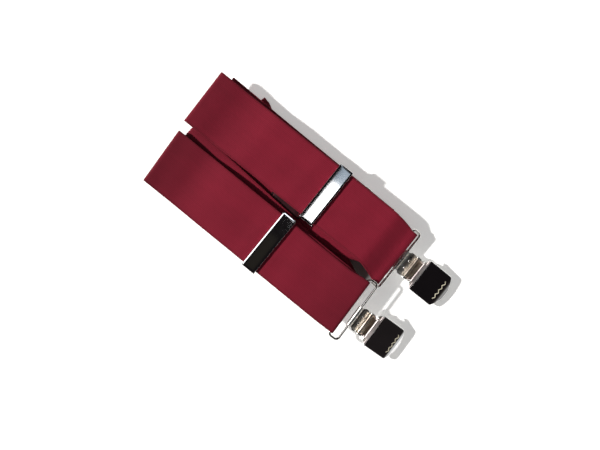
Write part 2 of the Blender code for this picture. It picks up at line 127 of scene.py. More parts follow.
def layer_z(side, layer, x):
    over = STRAPS[side]["over"]
    if layer == 1:
        return top_line(side, x)
    if layer == 2:
        return mix(19.6, 16.25, rise(x)) + 0.5 * smooth((x - 48.0) / 12.0)
    if layer == 3:
        return mix(17.4, 14.75, rise(x)) - 0.35 * smooth((x - 48.0) / 12.0)
    if layer == 4:
        return mix(13.0, 13.25, rise(x))
    if layer == 5 and over:
        return mix(2.05, 10.75, rise(x)) + 0.95 * smooth((x - 2.0) / 7.0) - 0.6 * smooth((x - 51.0) / 9.0)
    if layer == 5:
        return mix(0.5, 9.25, rise(x)) + 0.95 * smooth((x - 2.0) / 7.0)
    back = STRAPS[side]["rear"][0] - x  # layer 6, measured back from the rear ring
    return mix(REAR_BAR_Z - LOOP_RZ, 0.62, smooth(back / 70.0))


def layer(side, number):
    return lambda x: layer_z(side, number, x)


def level(z):
    return lambda x: z


def front_edges(side, x):
    """The +Y and -Y edge points of the top layer where its middle is at x."""
    s = STRAPS[side]
    x0, y0 = s["folds"][0]
    near = 1 - smooth((x - x0) / 30.0)
    far = smooth((x - 58.0) / (s["ring"][0] - 58.0))
    if side == "right":
        y = 26.0 - 4.4 * (max(x - 53.0, 0.0) / 27.4) ** 2
        turn = math.radians(s["fold_skew"] * near)
        half = HALF_W + 1.1 * far
    else:
        y = y0 + math.tan(math.radians(s["heading"])) * (x - x0) + 1.16 * far
        turn = math.radians(s["heading"] * (1 - near) + s["fold_skew"] * near + 2.5 * far)
        half = HALF_W + 0.8 * far
    across = Vector((-math.sin(turn), math.cos(turn))) * half
    return Vector((x, y)) + across, Vector((x, y)) - across


# ------------------------------------------------------------------ webbing as a ribbon with rolled edges
# across the width: position from -1 to 1 and how full the thickness is there
SECTION = [(-1.0, 0.0), (-0.9985, 0.34), (-0.994, 0.66), (-0.986, 0.9), (-0.974, 1.0), (-0.955, 0.97), (-0.94, 0.86), (-0.925, 0.93)]
SECTION += [(-0.9, 0.96), (-0.75, 0.96), (-0.5, 0.96), (-0.25, 0.96)]
SECTION = SECTION + [(0.0, 0.96)] + [(-a, b) for a, b in reversed(SECTION)]


class Ribbon:
    def __init__(self):
        self.a, self.b = [], []

    def add(self, a, b, height):
        self.a.append(Vector((a[0], a[1], height(a[0]))))
        self.b.append(Vector((b[0], b[1], height(b[0]))))

    def turn(self, a, b, out, rx, low, high, steps):
        for i in range(steps + 1):
            th = math.pi * i / steps
            shift = out * (rx * math.sin(th))
            t = (1 - math.cos(th)) / 2
            for p, edge in ((a, self.a), (b, self.b)):
                q = p + shift
                edge.append(Vector((q.x, q.y, mix(low(p.x), high(p.x), t))))

    def length(self):
        mids = [(p + q) / 2 for p, q in zip(self.a, self.b)]
        return sum((mids[i + 1] - mids[i]).length for i in range(len(mids) - 1))

    def build(self, name, thick, start=0.0, relief=None):
        """A closed mesh in metres with the webbing's own coordinates (mm along, mm across) in 'web'."""
        n, k = len(self.a), len(SECTION)
        mids = [(p + q) / 2 for p, q in zip(self.a, self.b)]
        verts, web, faces = [], [], []
        run = start
        for i in range(n):
            if i:
                run += (mids[i] - mids[i - 1]).length
            along = (mids[min(i + 1, n - 1)] - mids[max(i - 1, 0)]).normalized()
            across = (self.a[i] - self.b[i]).normalized()
            up = along.cross(across).normalized()
            if relief:
                shift = relief(i, mids[i], run)
            else:
                shift = None
            for sign in (1, -1):
                for s, full in SECTION if sign == 1 else reversed(SECTION[1:-1]):
                    p = mids[i] + (self.a[i] - self.b[i]) * (s / 2)
                    lift = up * (sign * full * thick / 2)
                    if shift:
                        p = p + shift(s)
                    verts.append(p + lift)
                    web.append((run, s * HALF_W, float(sign)))
        m = 2 * k - 2
        for i in range(n - 1):
            for j in range(m):
                j2 = (j + 1) % m
                faces.append((i * m + j, i * m + j2, (i + 1) * m + j2, (i + 1) * m + j))
        for base, flip in ((0, True), ((n - 1) * m, False)):
            for j in range(k - 1):
                top0, top1 = base + j, base + j + 1
                low0 = base if j == 0 else base + m - j
                low1 = base + k - 1 if j == k - 2 else base + m - j - 1
                quad = [top0, top1, low1, low0]
                quad = [v for t, v in enumerate(quad) if v not in quad[:t]]
                faces.append(tuple(quad if not flip else quad[::-1]))
        me = bpy.data.meshes.new(name)
        me.from_pydata([((v.x - CENTRE_X) * MM, (v.y - CENTRE_Y) * MM, v.z * MM) for v in verts], [], faces)
        at = me.attributes.new("web", "FLOAT_VECTOR", "POINT")
        at.data.foreach_set("vector", [c for w in web for c in w])
        tidy(me)
        me.shade_smooth()
        me.set_sharp_from_angle(angle=math.radians(60))
        ob = bpy.data.objects.new(name, me)
        bpy.context.scene.collection.objects.link(ob)
        return ob


def tidy(me):
    bm = bmesh.new()
    bm.from_mesh(me)
    bmesh.ops.recalc_face_normals(bm, faces=bm.faces)
    bm.to_mesh(me)
    bm.free()


def fold_line(previous, centre, following):
    h_in = (Vector(centre) - Vector(previous)).normalized()
    h_out = (Vector(following) - Vector(centre)).normalized()
    out = (h_in - h_out).normalized()
    line = Vector((-out.y, out.x))
    if line.y < 0:
        line = -line
    half = HALF_W / abs(h_in.dot(out))
    return out, line * half


def strap_ribbon(side, stations=34, steps=12):
    s = STRAPS[side]
    path = [s["ring"], *s["folds"], s["rear"]]
    rib = Ribbon()
    bar = Vector(s["ring"])
    yaw = math.radians(s["ring_yaw"])
    out = Vector((math.cos(yaw), math.sin(yaw)))
    a, b = front_edges(side, bar.x)
    low, high = level(s["bar_z"] - LOOP_RZ), level(s["bar_z"] + LOOP_RZ)
    for d in (4.2, 3.2, 2.1, 1.0):
        rib.add(*front_edges(side, bar.x - d), low)
    rib.turn(a, b, out, s["ring_rx"], low, high, steps + 4)
    x_end = s["folds"][0][0]
    for i in range(1, 3 * stations):
        x = mix(bar.x, x_end, i / (3 * stations))
        rib.add(*front_edges(side, x), layer(side, 1))
    top_end = len(rib.a)
    for k in range(1, 6):
        out, half = fold_line(path[k - 1], path[k], path[k + 1])
        if k == 1:
            skew = math.radians(s["fold_skew"])
            out = Vector((-math.cos(skew), -math.sin(skew)))
            half = Vector((-math.sin(skew), math.cos(skew))) * HALF_W
        centre = Vector(path[k])
        a0, b0 = centre + half, centre - half
        rib.turn(a0, b0, out, FOLD_RX[k - 1], layer(side, k), layer(side, k + 1), steps)
        if k < 5:
            nout, nhalf = fold_line(path[k], path[k + 1], path[k + 2])
            ncentre = Vector(path[k + 1])
        else:
            ncentre, nhalf = Vector(path[6]), Vector((0.0, HALF_W))
        a1, b1 = ncentre + nhalf, ncentre - nhalf
        for i in range(1, stations):
            t = i / stations
            a, b = a0.lerp(a1, t), b0.lerp(b1, t)
            x = (a.x + b.x) / 2
            if k == 5 and side == "left":
                slip = -5.2 * smooth((x + 87.0) / 14.0) * (1 - smooth((x + 60.0) / 70.0))
                a, b = a + Vector((0, slip)), b + Vector((0, slip))
            rib.add(a, b, layer(side, k + 1))
    a, b = a1, b1
    out = Vector((1.0, 0.0))
    z_low, z_high = REAR_BAR_Z - LOOP_RZ, REAR_BAR_Z + LOOP_RZ
    rib.turn(a, b, out, LOOP_RZ, level(z_low), level(z_high), steps + 4)
    for d in (1.0, 2.0, 3.0, 4.0, 5.0, 6.0, 7.0, 8.0, 10.0, 12.0, 15.0, 18.0, 22.0):
        x = a1.x - d
        z = layer_z(side, 6, x) + 1.5 + (2 * LOOP_RZ - 1.5) * (1 - smooth((d - 1.0) / 9.0))
        rib.add(a - out * d, b - out * d, level(z))
    return rib, top_end


def tail_ribbon(side, steps=12):
    s = STRAPS[side]
    bar_x = s["ring"][0]
    end = s["adjuster"][0] + TAIL_BAR_U
    rib = Ribbon()
    yaw = math.radians(s["heading"])
    start = bar_x - 4.2
    n = 40
    z_bar = s["bar_z"] - LOOP_RZ

    def tail_z(x):
        return layer_z(side, 1, x) - 1.5 - (2 * LOOP_RZ - 1.5) * (1 - smooth((bar_x - 3.5 - x) / 13.0))

    for i in range(n):
        t = (i / n) ** 1.15
        x = mix(start, end, t)
        z = mix(z_bar, tail_z(x), smooth((start - x) / 3.0))
        slip = Vector((0, 1.6 if side == "left" else 0.0)) * (smooth((bar_x - 6.0 - x) / 16.0) * smooth((x - end - 9.0) / 14.0))
        a, b = front_edges(side, x)
        rib.add(a + slip, b + slip, level(z))
    a, b = front_edges(side, end)
    out = Vector((-math.cos(yaw), -math.sin(yaw)))
    z0, z1 = TOP_Z - 1.5, TOP_Z - 4.4
    rib.turn(a, b, out, 1.5, level(z0), level(z1), steps + 4)
    for d in (1.0, 2.0, 3.0, 4.0, 6.0, 8.0, 10.0, 12.0, 14.0, 16.0):
        rib.add(a - out * d, b - out * d, level(z1 + 1.35 * smooth((d - 1.0) / 8.0)))
    return rib


# ------------------------------------------------------------------ node materials
class Graph:
    """Small helper to write shader math."""

    def __init__(self, name):
        self.mat = bpy.data.materials.new(name)
        self.mat.use_nodes = True
        self.nt = self.mat.node_tree
        self.bsdf = self.nt.nodes["Principled BSDF"]

    def node(self, kind, **props):
        n = self.nt.nodes.new(kind)
        for k, v in props.items():
            setattr(n, k, v)
        return n

    def put(self, sock, value):
        if hasattr(value, "is_output"):
            self.nt.links.new(value, sock)
        else:
            sock.default_value = value

    def math(self, op, a, b=0.0, c=0.0, clamp=False):
        n = self.node("ShaderNodeMath", operation=op, use_clamp=clamp)
        self.put(n.inputs[0], a)
        self.put(n.inputs[1], b)
        self.put(n.inputs[2], c)
        return n.outputs[0]

    def ramp(self, fac, stops, mode="LINEAR"):
        n = self.node("ShaderNodeValToRGB")
        n.color_ramp.interpolation = mode
        el = n.color_ramp.elements
        while len(el) < len(stops):
            el.new(0.5)
        for e, (p, c) in zip(el, stops):
            e.position = p
            e.color = (*c, 1.0) if len(c) == 3 else c
        self.put(n.inputs[0], fac)
        return n.outputs[0]

    def noise(self, vector, scale, detail=3.0, rough=0.55):
        n = self.node("ShaderNodeTexNoise")
        n.inputs["Scale"].default_value = scale
        n.inputs["Detail"].default_value = detail
        n.inputs["Roughness"].default_value = rough
        self.put(n.inputs["Vector"], vector)
        return n.outputs["Fac"]

    def scaled(self, vector, x, y, z):
        n = self.node("ShaderNodeMapping")
        n.inputs["Scale"].default_value = (x, y, z)
        self.put(n.inputs["Vector"], vector)
        return n.outputs["Vector"]

    def mixrgb(self, fac, a, b, blend="MIX"):
        n = self.node("ShaderNodeMix", data_type="RGBA", blend_type=blend)
        self.put(n.inputs[0], fac)
        self.put(n.inputs[6], a if hasattr(a, "is_output") else (*a, 1.0))
        self.put(n.inputs[7], b if hasattr(b, "is_output") else (*b, 1.0))
        return n.outputs[2]

    def bump(self, height, distance, strength=1.0):
        n = self.node("ShaderNodeBump")
        n.inputs["Strength"].default_value = strength
        n.inputs["Distance"].default_value = distance
        self.put(n.inputs["Height"], height)
        self.nt.links.new(n.outputs["Normal"], self.bsdf.inputs["Normal"])

    def set(self, **values):
        for k, v in values.items():
            self.put(self.bsdf.inputs[k.replace("_", " ")], v)


def webbing_material():
    """Woven elastic: lengthwise rubber cords under fine weft, with a tighter selvedge."""
    g = Graph("webbing")
    at = g.node("ShaderNodeAttribute", attribute_name="web")
    xyz = g.node("ShaderNodeSeparateXYZ")
    g.put(xyz.inputs[0], at.outputs["Vector"])
    s, t = xyz.outputs[0], xyz.outputs[1]
    pitch, weft = 1.25, 0.62
    wobble = g.noise(g.scaled(at.outputs["Vector"], 0.05, 0.3, 1.0), 1.0, 2.0)
    t_w = g.math("ADD", t, g.math("MULTIPLY", wobble, 0.25))
    rib = g.math("ABSOLUTE", g.math("SINE", g.math("MULTIPLY", t_w, math.pi / pitch)))
    rib = g.math("POWER", rib, 0.55)
    cell = g.math("FLOOR", g.math("MULTIPLY", t_w, 1.0 / pitch))
    odd = g.math("MULTIPLY", g.math("MODULO", g.math("ABSOLUTE", cell), 2.0), math.pi)
    pick = g.math("SINE", g.math("ADD", g.math("MULTIPLY", s, 2 * math.pi / weft), odd))
    pick = g.math("MULTIPLY_ADD", pick, 0.5, 0.5)
    edge = g.math("GREATER_THAN", g.math("ABSOLUTE", t), HALF_W - 1.7)
    edge_pick = g.math("MULTIPLY_ADD", g.math("SINE", g.math("MULTIPLY", s, 2 * math.pi / 0.9)), 0.5, 0.5)
    field = g.math("MULTIPLY_ADD", rib, 0.7, g.math("MULTIPLY", pick, 0.3))
    height = g.math("ADD", g.math("MULTIPLY", field, g.math("SUBTRACT", 1.0, edge)), g.math("MULTIPLY", edge_pick, g.math("MULTIPLY", edge, 0.7)))
    fuzz = g.noise(g.scaled(at.outputs["Vector"], 1.6, 1.6, 1.0), 1.0, 4.0, 0.7)
    cloud = g.noise(g.scaled(at.outputs["Vector"], 0.021, 0.05, 1.0), 1.0, 3.0)
    streak = g.noise(g.scaled(at.outputs["Vector"], 0.008, 1.1, 1.0), 1.0, 2.0)
    # The colour follows the weave's height: painted shade in the grooves between the ribs, lighter on the raised
    # threads.
    deep, body, light = (0.082, 0.0030, 0.0082), (0.198, 0.0078, 0.0225), (0.248, 0.0120, 0.032)
    col = g.ramp(g.math("MULTIPLY_ADD", fuzz, 0.35, g.math("MULTIPLY", height, 0.72)), [(0.1, deep), (0.52, body), (0.95, light)])
    tone = g.math("MULTIPLY_ADD", g.math("SUBTRACT", cloud, 0.5), 0.34, 1.0)
    tone = g.math("MULTIPLY_ADD", g.math("SUBTRACT", streak, 0.5), 0.2, tone)
    # Shading painted into the colour: deeper towards the left folds and along the front of the left strap. The real
    # surface falls darker there than this geometry and light make it.
    place_at = g.node("ShaderNodeTexCoord")
    pos = g.node("ShaderNodeSeparateXYZ")
    g.put(pos.inputs[0], place_at.outputs["Object"])
    fold = g.math("MULTIPLY", g.math("SUBTRACT", -0.078, pos.outputs[0]), 20.0, clamp=True)
    front = g.math("MULTIPLY", g.math("SUBTRACT", pos.outputs[0], 0.020), 20.0, clamp=True)
    near = g.math("LESS_THAN", pos.outputs[1], -0.004)
    tone = g.math("MULTIPLY", tone, g.math("SUBTRACT", 1.0, g.math("MULTIPLY", fold, g.math("MULTIPLY_ADD", near, 0.12, 0.24))))
    tone = g.math("MULTIPLY", tone, g.math("SUBTRACT", 1.0, g.math("MULTIPLY", g.math("MULTIPLY", front, near), 0.26)))
    # Painted shade too: everything below y = -4 mm, mostly the left strap, a few per cent darker all along.
    tone = g.math("MULTIPLY", tone, g.math("MULTIPLY_ADD", near, -0.03, 0.98))
    n = g.node("ShaderNodeMix", data_type="RGBA", blend_type="MULTIPLY")
    n.inputs[0].default_value = 1.0
    g.put(n.inputs[6], col)
    comb = g.node("ShaderNodeCombineColor")
    for i in range(3):
        g.put(comb.inputs[i], tone)
    g.put(n.inputs[7], comb.outputs[0])
    g.set(Base_Color=n.outputs[2], Roughness=g.math("MULTIPLY_ADD", fuzz, 0.16, 0.68), Specular_IOR_Level=0.16, Sheen_Weight=0.07, Sheen_Roughness=0.4)
    g.bsdf.inputs["Sheen Tint"].default_value = (0.9, 0.45, 0.5, 1.0)
    g.bump(g.math("MULTIPLY_ADD", fuzz, 0.2, height), 0.00016, 0.8)
    return g.mat


def thread_material():
    g = Graph("thread")
    tc = g.node("ShaderNodeTexCoord")
    wave = g.node("ShaderNodeTexWave", wave_type="BANDS", bands_direction="DIAGONAL")
    wave.inputs["Scale"].default_value = 900.0
    g.put(wave.inputs["Vector"], tc.outputs["Object"])
    tint = g.noise(tc.outputs["Object"], 400.0)
    col = g.ramp(tint, [(0.3, (0.13, 0.007, 0.016)), (0.7, (0.25, 0.018, 0.036))])
    g.set(Base_Color=col, Roughness=0.7, Specular_IOR_Level=0.2, Sheen_Weight=0.06)
    g.bump(wave.outputs["Fac"], 0.00008, 0.7)
    return g.mat


def leather_material():
    g = Graph("patch_leather")
    tc = g.node("ShaderNodeTexCoord")
    vor = g.node("ShaderNodeTexVoronoi", feature="DISTANCE_TO_EDGE")
    vor.inputs["Scale"].default_value = 900.0
    g.put(vor.inputs["Vector"], tc.outputs["Object"])
    grain = g.math("MINIMUM", g.math("MULTIPLY", vor.outputs["Distance"], 3.2), 1.0)
    big = g.noise(tc.outputs["Object"], 130.0, 4.0)
    col = g.ramp(big, [(0.3, (0.024, 0.003, 0.005)), (0.7, (0.048, 0.006, 0.010))])
    col = g.mixrgb(g.math("MULTIPLY", g.math("SUBTRACT", 1.0, grain), 0.5), col, (0.014, 0.004, 0.005))
    g.set(Base_Color=col, Roughness=g.math("MULTIPLY_ADD", big, 0.2, 0.55), Specular_IOR_Level=0.18)
    g.bump(g.math("MULTIPLY_ADD", big, 0.5, grain), 0.00012, 0.7)
    return g.mat


def metal_material(name, colour, dark, rough, scratch, dirt=0.0):
    """Plated steel: faint polishing lines, smudges in the gloss and a duller tone in patches."""
    g = Graph(name)
    tc = g.node("ShaderNodeTexCoord")
    smudge = g.noise(tc.outputs["Object"], 95.0, 4.0, 0.6)
    lines = g.noise(g.scaled(tc.outputs["Object"], 1.0, 14.0, 14.0), 260.0, 3.0, 0.7)
    lines2 = g.noise(g.scaled(tc.outputs["Object"], 14.0, 1.0, 6.0), 330.0, 2.0, 0.7)
    col = g.ramp(smudge, [(0.25, dark), (0.62, colour)])
    if dirt:
        cloud = g.noise(tc.outputs["Object"], 420.0, 5.0, 0.65)
        col = g.mixrgb(g.math("MULTIPLY", g.math("GREATER_THAN", cloud, 0.62), dirt), col, (0.16, 0.11, 0.06))
    r = g.math("MULTIPLY_ADD", g.math("SUBTRACT", smudge, 0.45), rough * 1.2, rough, clamp=True)
    g.set(Base_Color=col, Metallic=1.0, Roughness=g.math("MAXIMUM", r, 0.02))
    g.bump(g.math("ADD", lines, lines2), 0.00003, scratch)
    return g.mat


def pad_material():
    g = Graph("grip_pad")
    tc = g.node("ShaderNodeTexCoord")
    big = g.noise(tc.outputs["Object"], 160.0, 4.0)
    fine = g.noise(tc.outputs["Object"], 1500.0, 2.0)
    wave = g.node("ShaderNodeTexWave", wave_type="BANDS", bands_direction="X")
    wave.inputs["Scale"].default_value = 130.0
    g.put(wave.inputs["Vector"], tc.outputs["Object"])
    col = g.ramp(big, [(0.3, (0.52, 0.44, 0.31)), (0.7, (0.66, 0.58, 0.44))])
    g.set(Base_Color=col, Roughness=g.math("MULTIPLY_ADD", fine, 0.2, 0.4), Subsurface_Weight=0.05)
    g.bump(g.math("MULTIPLY_ADD", fine, 0.15, wave.outputs["Fac"]), 0.00025, 0.7)
    return g.mat


def floor_material():
    g = Graph("floor_paper")
    tc = g.node("ShaderNodeTexCoord")
    fibre = g.noise(tc.outputs["Object"], 900.0, 4.0, 0.6)
    cloud = g.noise(tc.outputs["Object"], 3.0, 2.0)
    col = g.ramp(g.math("MULTIPLY_ADD", cloud, 0.4, g.math("MULTIPLY", fibre, 0.3)), [(0.2, (0.905, 0.905, 0.895)), (0.6, (0.93, 0.93, 0.92))])
    # The ground glows, to lift the cast shadow to a pale grey. Under the bundle it has no glow and a dark colour, so
    # that the gaps between the straps stay dark.
    xyz = g.node("ShaderNodeSeparateXYZ")
    g.put(xyz.inputs[0], tc.outputs["Object"])
    ends = g.math("SUBTRACT", 0.0995, g.math("ABSOLUTE", g.math("ADD", xyz.outputs[0], 0.0225)))
    ends = g.math("MULTIPLY", ends, 130.0, clamp=True)
    sides = g.math("SUBTRACT", 0.052, g.math("ABSOLUTE", g.math("ADD", xyz.outputs[1], 0.004)))
    sides = g.math("MULTIPLY", sides, 60.0, clamp=True)
    shade = g.math("MULTIPLY", ends, sides)
    glow = g.math("MULTIPLY", g.math("SUBTRACT", 1.0, shade), 0.355)
    col = g.mixrgb(g.math("MULTIPLY", shade, 0.85), col, (0.10, 0.05, 0.05))
    g.set(Base_Color=col, Roughness=0.8, Specular_IOR_Level=0.1, Emission_Color=(1.0, 1.0, 0.985, 1.0), Emission_Strength=glow)
    g.bump(fibre, 0.00004, 0.3)
    return g.mat


WEB = webbing_material()
THREAD = thread_material()
LEATHER = leather_material()
CHROME = metal_material("chrome_polished", (0.80, 0.80, 0.81), (0.70, 0.70, 0.71), 0.045, 0.10)
PLATE = metal_material("chrome_plate", (0.84, 0.84, 0.85), (0.78, 0.78, 0.79), 0.05, 0.03)
BASE = metal_material("nickel_worn", (0.86, 0.86, 0.83), (0.70, 0.69, 0.65), 0.30, 0.12, dirt=0.3)
JAW = metal_material("nickel_brushed", (0.66, 0.58, 0.50), (0.46, 0.36, 0.29), 0.34, 0.12, dirt=0.15)
# The bead's pink tint is a painted reflection of the red webbing beside it.
BEAD = metal_material("rolled_bead", (0.88, 0.80, 0.79), (0.78, 0.68, 0.67), 0.5, 0.08)
STUD = metal_material("stud_bright", (0.92, 0.91, 0.88), (0.84, 0.83, 0.80), 0.22, 0.05)
WIRE = metal_material("wire_bright", (0.78, 0.77, 0.75), (0.62, 0.61, 0.58), 0.09, 0.15)
STEEL = metal_material("pin_steel", (0.66, 0.64, 0.60), (0.5, 0.48, 0.44), 0.18, 0.3)
INSET = metal_material("zigzag_satin", (0.86, 0.80, 0.62), (0.76, 0.69, 0.50), 0.5, 0.3)
INSET.node_tree.nodes["Principled BSDF"].inputs["Metallic"].default_value = 0.25
PAD = pad_material()


# ------------------------------------------------------------------ shapes, in a part's own millimetres
def raw(verts, faces):
    me = bpy.data.meshes.new("shape")
    me.from_pydata([tuple(v) for v in verts], [], faces)
    tidy(me)
    ob = bpy.data.objects.new("shape", me)
    bpy.context.scene.collection.objects.link(ob)
    return ob


def prism(outline, lo, hi, plane):
    n = len(outline)

    def put(p, d):
        if plane == "uw":
            return (p[0], d, p[1])
        if plane == "uv":
            return (p[0], p[1], d)
        return (d, p[0], p[1])

    verts = [put(p, lo) for p in outline] + [put(p, hi) for p in outline]
    faces = [tuple(range(n)), tuple(range(2 * n - 1, n - 1, -1))]
    faces += [(i, (i + 1) % n, n + (i + 1) % n, n + i) for i in range(n)]
    return raw(verts, faces)


def loft(sections, closed=True):
    """Closed sections of equal length joined in order, with flat ends."""
    k, verts, faces = len(sections[0]), [], []
    for sec in sections:
        verts += sec
    for i in range(len(sections) - 1):
        for j in range(k):
            m = (j + 1) % k
            faces.append((i * k + j, i * k + m, (i + 1) * k + m, (i + 1) * k + j))
    last = (len(sections) - 1) * k
    faces += [tuple(range(k - 1, -1, -1)), tuple(range(last, last + k))]
    return raw(verts, faces)


def slab(stations):
    return loft([[(u, -h, w0), (u, h, w0), (u, h, w1), (u, -h, w1)] for u, h, w0, w1 in stations])


def disc(cu, cw, r, n=28):
    return [(cu + r * math.cos(2 * math.pi * i / n), cw + r * math.sin(2 * math.pi * i / n)) for i in range(n)]


def rod(cu, cw, r, v0, v1, n=28):
    return prism(disc(cu, cw, r, n), v0, v1, "uw")


def lathe(profile, n=28):
    """Profile of (radius, height) turned round w; the first and last radius are closed with a face."""
    secs = [[(r * math.cos(2 * math.pi * i / n), r * math.sin(2 * math.pi * i / n), h) for i in range(n)] for r, h in profile]
    return loft(secs)


def tube(cu, cw, r_in, r_out, v0, v1, n=32):
    inner, outer = disc(cu, cw, r_in, n), disc(cu, cw, r_out, n)
    verts = [(p[0], v, p[1]) for v in (v0, v1) for ring in (inner, outer) for p in ring]
    faces = []
    for i in range(n):
        j = (i + 1) % n
        faces += [(i, j, n + j, n + i), (2 * n + i, 3 * n + i, 3 * n + j, 2 * n + j)]
        faces += [(i, 2 * n + i, 2 * n + j, j), (n + i, n + j, 3 * n + j, 3 * n + i)]
    return raw(verts, faces)


def baked(ob):
    bpy.context.view_layer.update()
    graph = bpy.context.evaluated_depsgraph_get()
    made = bpy.data.meshes.new_from_object(ob.evaluated_get(graph), depsgraph=graph)
    ob.modifiers.clear()
    old, ob.data = ob.data, made
    bpy.data.meshes.remove(old)
    return ob


def joined(base, others, how="UNION"):
    for other in others:
        mod = base.modifiers.new("cut", "BOOLEAN")
        mod.operation = how
        mod.object = other
        mod.solver = "EXACT"
    baked(base)
    for other in others:
        bpy.data.objects.remove(other, do_unlink=True)
    bm = bmesh.new()
    bm.from_mesh(base.data)
    bmesh.ops.remove_doubles(bm, verts=bm.verts, dist=0.002)
    bmesh.ops.dissolve_limit(bm, angle_limit=0.002, verts=bm.verts, edges=bm.edges)
    bm.to_mesh(base.data)
    bm.free()
    return base


def eased(ob, width, segments=2, angle=38):
    """Breaks the sharp edges of a stamped part."""
    mod = ob.modifiers.new("edge", "BEVEL")
    mod.width = width
    mod.segments = segments
    mod.limit_method = "ANGLE"
    mod.angle_limit = math.radians(angle)
    mod.use_clamp_overlap = True
    return baked(ob)


def axes_frame(origin, u, v, w):
    m = Matrix.Identity(4)
    for i, axis in enumerate((u, v, w)):
        for r in range(3):
            m[r][i] = axis[r]
    for r in range(3):
        m[r][3] = origin[r]
    return m


def tilted(origin, yaw, tilt):
    y, t = math.radians(yaw), math.radians(tilt)
    u = Vector((math.cos(t) * math.cos(y), math.cos(t) * math.sin(y), -math.sin(t)))
    v = Vector((-math.sin(y), math.cos(y), 0.0))
    return axes_frame(origin, u, v, u.cross(v))


def flipped(origin, yaw):
    y = math.radians(yaw)
    u = Vector((math.cos(y), math.sin(y), 0.0))
    w = Vector((0.0, 0.0, -1.0))
    return axes_frame(origin, u, w.cross(u), w)


def place(ob, name, mat, body, frame_m=None, nodes=(), flat=32, weighted=True):
    """A finished piece: into metres, shaded, painted, riding on its body in place of its CAD nodes."""
    me = ob.data
    if frame_m is not None:
        me.transform(frame_m)
    me.transform(Matrix.Translation((-CENTRE_X, -CENTRE_Y, 0)))
    me.transform(Matrix.Scale(MM, 4))
    tidy(me)
    me.shade_smooth()
    me.set_sharp_from_angle(angle=math.radians(flat))
    if weighted:
        mod = ob.modifiers.new("normals", "WEIGHTED_NORMAL")
        mod.keep_sharp = True
        mod.weight = 80
        baked(ob)
    ob.name = name
    ob.data.name = name
    ob.data.materials.clear()
    ob.data.materials.append(mat)
    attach(ob, body)
    if nodes:
        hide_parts(*nodes)
    return ob


# ------------------------------------------------------------------ ring
def ring_shape():
    path, r = [], RING_CORNER
    for cu, cv, a0 in (
        (RING_PITCH - r, RING_HALF_V - r, 0.0),
        (r, RING_HALF_V - r, 0.5 * math.pi),
        (r, -RING_HALF_V + r, math.pi),
        (RING_PITCH - r, -RING_HALF_V + r, 1.5 * math.pi),
    ):
        for i in range(11):
            a = a0 + 0.5 * math.pi * i / 10
            path.append((Vector((cu + r * math.cos(a), cv + r * math.sin(a), 0)), Vector((math.cos(a), math.sin(a), 0))))
    sides, verts, faces = 18, [], []
    for p, normal in path:
        for k in range(sides):
            b = 2 * math.pi * k / sides
            verts.append(p + normal * (WIRE_R * math.cos(b)) + Vector((0, 0, WIRE_R * math.sin(b))))
    n = len(path)
    for i in range(n):
        for k in range(sides):
            p, q = i * sides, ((i + 1) % n) * sides
            m = (k + 1) % sides
            faces.append((p + k, p + m, q + m, q + k))
    return raw(verts, faces)


# ------------------------------------------------------------------ clip pieces
def pressed(stations, thick, steps=5, flats=8):
    """A pressed cover lofted along u: each station is (u, half width, top, shoulder radius, skirt depth, crown)."""
    secs = []
    for u, h, top, r, skirt, crown in stations:
        outer, inner = [], []

        def run(h, top, r, depth):
            pts = [(u, -h, top - crown - depth)]
            for i in range(steps + 1):
                a = math.pi / 2 * i / steps
                pts.append((u, -h + r - r * math.cos(a), top - crown - r + r * math.sin(a)))
            for i in range(1, flats):
                v = mix(-h + r, h - r, i / flats)
                pts.append((u, v, top - crown * (v / (h - r)) ** 2 if h > r else top))
            for i in range(steps, -1, -1):
                a = math.pi / 2 * i / steps
                pts.append((u, h - r + r * math.cos(a), top - crown - r + r * math.sin(a)))
            pts.append((u, h, top - crown - depth))
            return pts

        outer = run(h, top, r, skirt)
        inner = run(h - thick, top - thick, max(r - thick, 0.15), max(skirt - thick, 0.16))
        low = top - crown - skirt
        inner[0] = (u, -h + thick, low)
        inner[-1] = (u, h - thick, low)
        secs.append(outer + inner[::-1])
    return loft(secs)


def clip_lever():
    top, th = CLIP_H, 0.75
    rows = [
        (19.15, 13.9, top - 0.5, 0.5, 0.95, 0.05),
        (19.3, 14.3, top - 0.26, 0.6, 1.5, 0.06),
        (19.5, 14.65, top - 0.12, 0.7, 2.2, 0.08),
        (19.8, 14.88, top - 0.03, 0.8, 2.7, 0.1),
        (20.3, 14.95, top, 0.85, 2.85, 0.12),
    ]
    for i in range(1, 8):
        rows.append((mix(20.3, 39.8, i / 8), 14.95, top, 0.85, 2.85, 0.12))
    rows += [
        (39.8, 14.95, top, 0.85, 2.85, 0.12),
        (41.0, 14.93, top - 0.01, 0.85, 2.7, 0.12),
        (41.8, 14.6, top - 0.05, 0.8, 2.3, 0.1),
        (42.6, 13.5, top - 0.2, 0.7, 1.75, 0.08),
        (43.6, 11.7, top - 0.45, 0.6, 1.35, 0.06),
        (44.5, 9.9, top - 0.74, 0.55, 1.15, 0.05),
        (45.2, 8.1, top - 1.04, 0.5, 1.0, 0.04),
        (46.0, 6.6, top - 1.32, 0.45, 0.95, 0.03),
        (46.6, 5.2, top - 1.55, 0.42, 0.9, 0.02),
        (46.95, 4.0, top - 1.72, 0.4, 0.85, 0.02),
    ]
    body = pressed(rows, th)
    wave, n, half, amp, gap = [], 9, 9.2, 0.75, 0.52
    line = [(40.3 + (amp if i % 2 else -amp), -half + 2 * half * i / (n - 1)) for i in range(n)]
    wave = [(u + gap, v) for u, v in line] + [(u - gap, v) for u, v in reversed(line)]
    body = joined(body, [prism(wave, top - 1.6, top + 1.5, "uv")], "DIFFERENCE")
    return body


